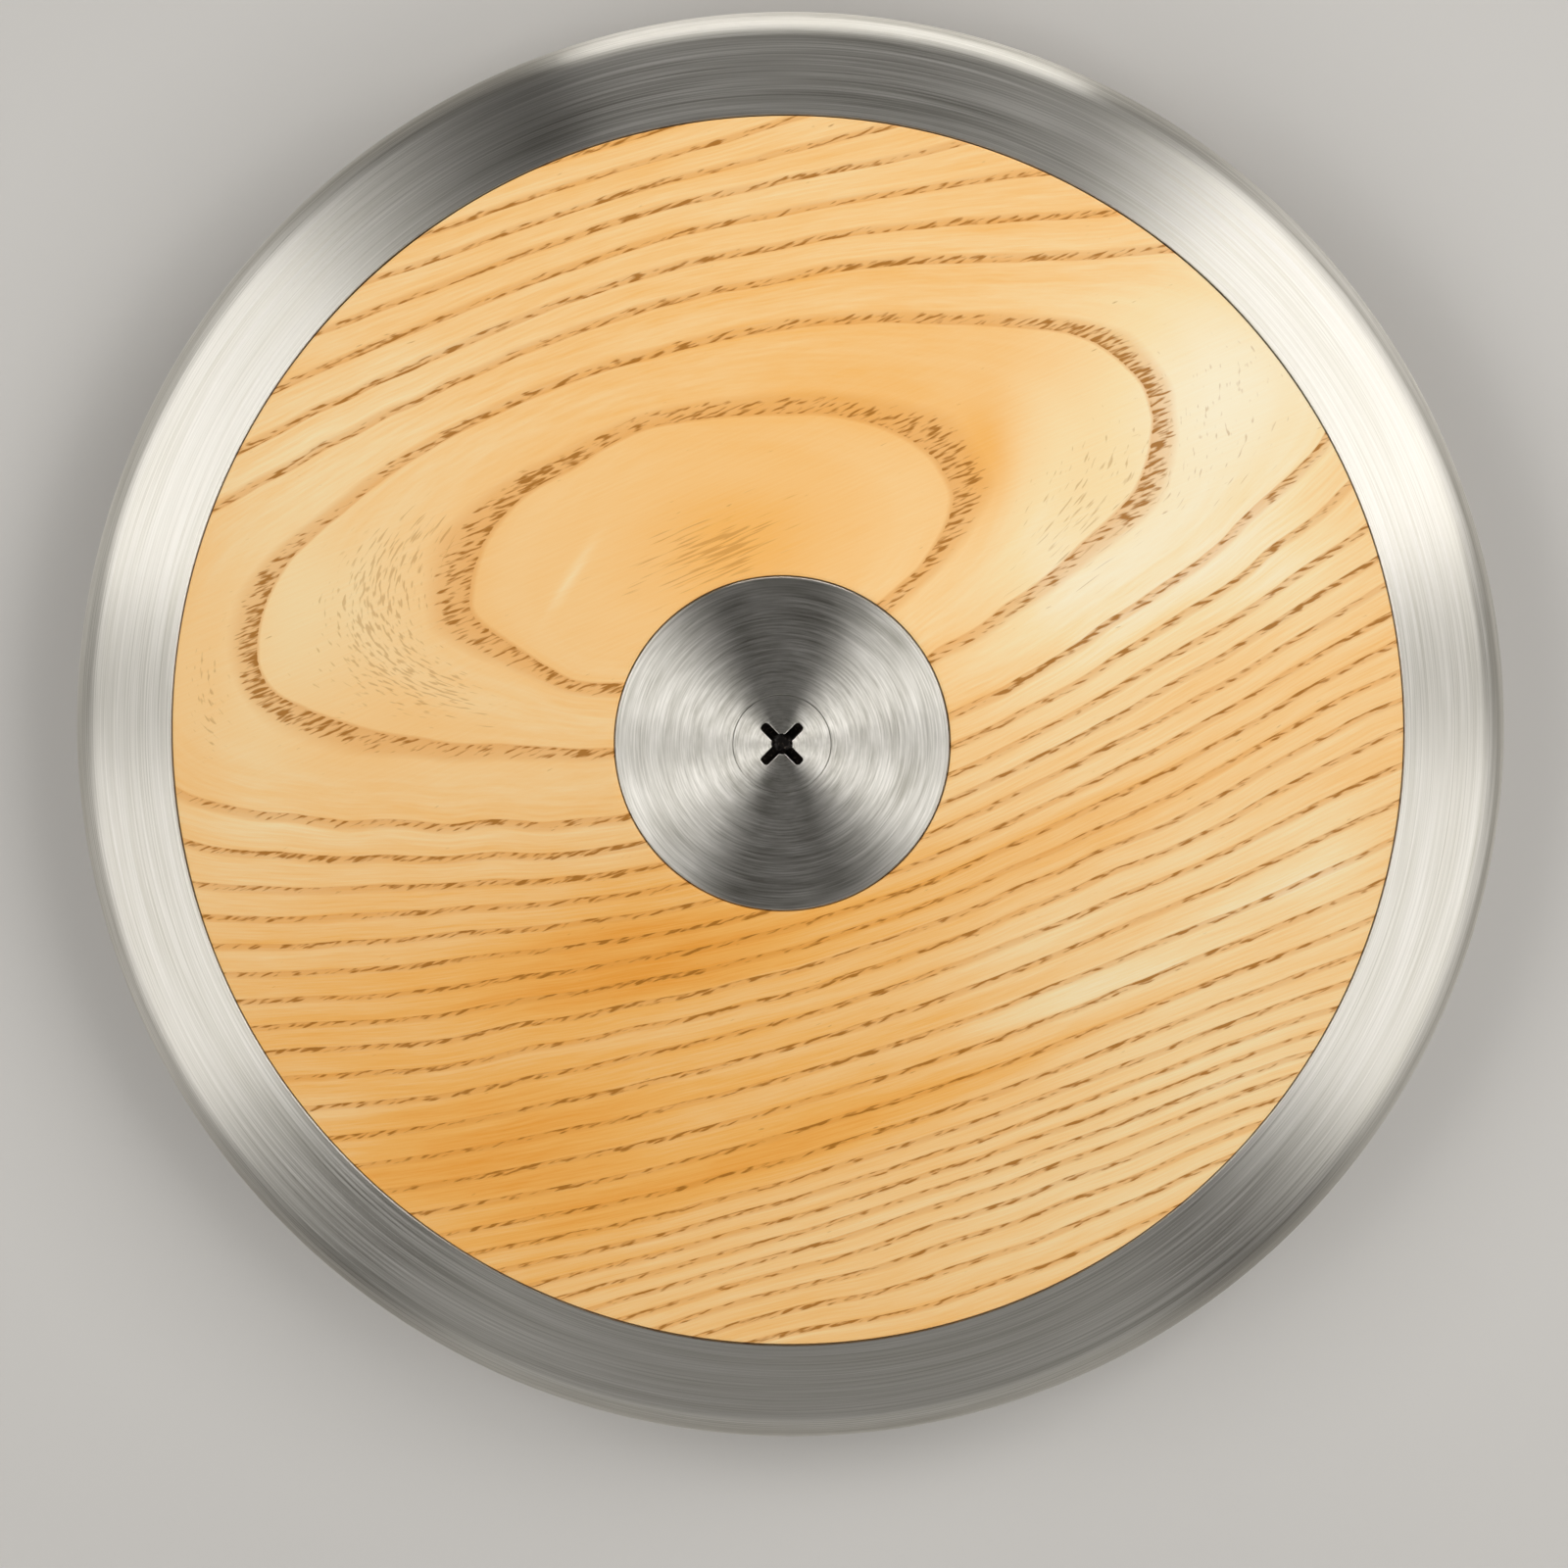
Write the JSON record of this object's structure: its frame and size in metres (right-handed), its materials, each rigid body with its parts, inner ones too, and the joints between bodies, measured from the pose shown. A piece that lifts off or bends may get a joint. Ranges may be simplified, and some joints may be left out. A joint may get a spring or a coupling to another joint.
{
  "type": "discus",
  "caption": "Throwing discus with a turned steel rim, tapered varnished wood sides and flush steel centre plates drawn together by screws.",
  "frame": {"origin": "middle of the back centre plate's outer face, where the discus rests", "axes": "+Z along the discus's own axis, from the back face to the front face; +Y up in the picture"},
  "size_m": [0.22, 0.22, 0.045],
  "materials": {
    "turned_stainless": "turned in rings, satin",
    "varnished_ash": "satin clear varnish over plain-sawn ash",
    "zinc_plated_steel": "bright zinc plate",
    "bare_steel": "plain rolled steel",
    "packing_felt": "pressed grey felt",
    "beech": "bare beech"
  },
  "bodies": {
    "root": {"rim": "turned_stainless", "front_side": "varnished_ash", "back_side": "varnished_ash", "front_centre_plate": "turned_stainless", "back_centre_plate": "turned_stainless", "front_centre_screw": "turned_stainless", "back_centre_screw": "turned_stainless", "sleeve_nut": "zinc_plated_steel", "front_trim_washer_1": "bare_steel", "front_trim_washer_2": "bare_steel", "back_trim_washer_1": "bare_steel", "back_trim_washer_2": "bare_steel", "front_packing_ring": "packing_felt", "back_packing_ring": "packing_felt", "rim_dowel_1": "beech", "rim_dowel_2": "beech", "rim_dowel_3": "beech", "rim_dowel_4": "beech", "rim_dowel_5": "beech", "rim_dowel_6": "beech"}
  },
  "joints": []
}
